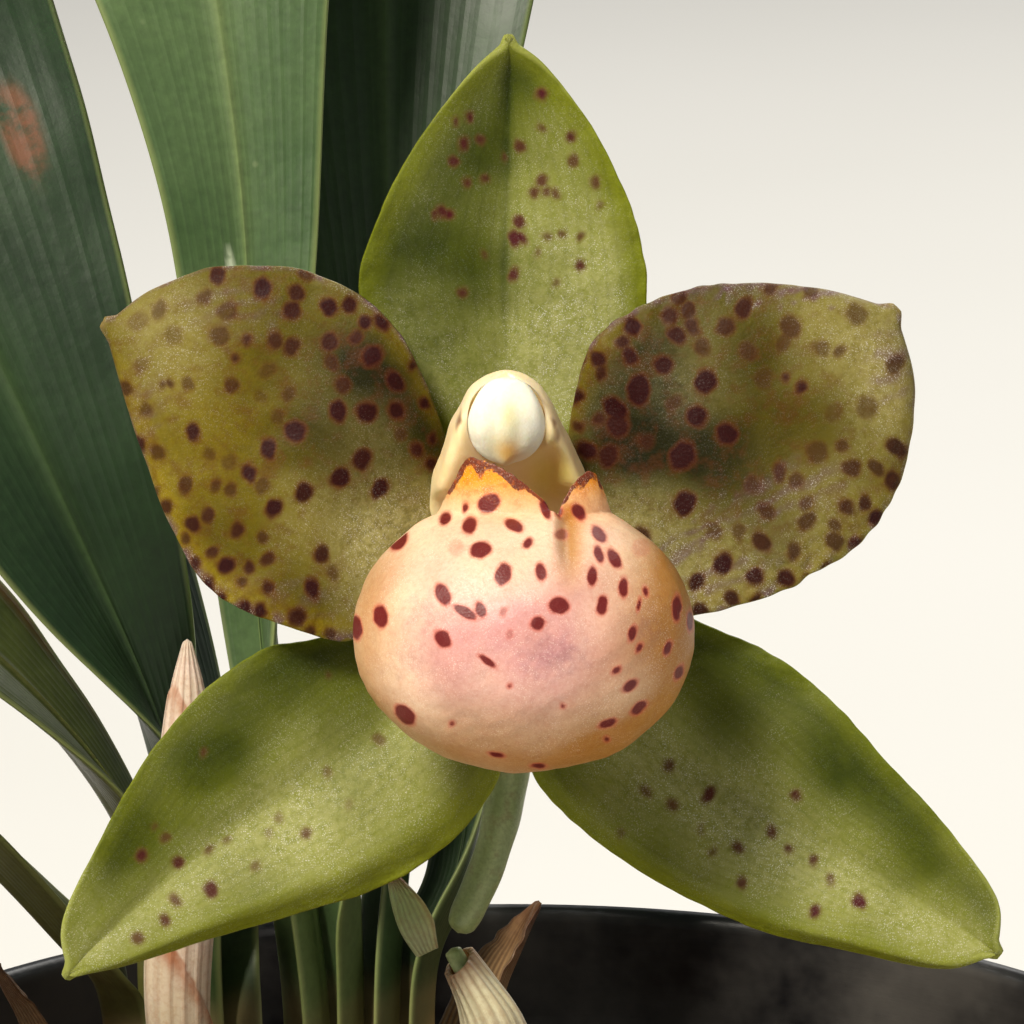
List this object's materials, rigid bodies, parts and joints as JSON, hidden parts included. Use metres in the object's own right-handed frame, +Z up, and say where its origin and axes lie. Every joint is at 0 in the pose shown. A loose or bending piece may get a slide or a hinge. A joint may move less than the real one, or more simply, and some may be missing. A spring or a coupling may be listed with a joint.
{
  "type": "potted orchid",
  "caption": "Potted orchid with a fan of strap leaves and one open green-yellow flower whose round, spotted lip is a hollow pouch; set in bark in a tapered plastic pot.",
  "frame": {"origin": "middle of the pot's flat underside, on the ground it stands on", "axes": "+Z up out of the pot, -Y towards the viewer of the flower, +X to the right as the flower is seen"},
  "size_m": [0.0991, 0.1024, 0.1624],
  "materials": {
    "leaf": "satin",
    "leaf_olive": "satin",
    "sepal": "satin",
    "petal": "satin",
    "lip": "satin",
    "column": "satin",
    "anther": "satin",
    "stalk": "satin",
    "bract": "satin",
    "sheath": "satin",
    "paper": "matte",
    "root": "matte",
    "bark": "matte",
    "pot": "satin"
  },
  "bodies": {
    "root": {"pot": "pot", "bark_mix": "bark", "stem_base": "stalk", "root_1": "root", "root_2": "root", "root_3": "root", "root_4": "root", "leaf_1": "leaf", "leaf_2": "leaf", "leaf_3": "leaf", "leaf_4": "leaf_olive", "leaf_5": "leaf_olive", "leaf_6": "leaf", "leaf_7": "leaf", "leaf_8": "leaf", "sheath_left": "paper", "sheath_right": "paper", "young_shoot": "sheath", "scape": "stalk", "scape_sheath": "sheath", "dorsal_sepal": "sepal", "lateral_sepal_left": "sepal", "lateral_sepal_right": "sepal", "petal_left": "petal", "petal_right": "petal", "lip": "lip", "callus": "lip", "column": "column", "anther_cap": "anther", "ovary": "stalk", "floral_bract": "bract"}
  },
  "joints": []
}
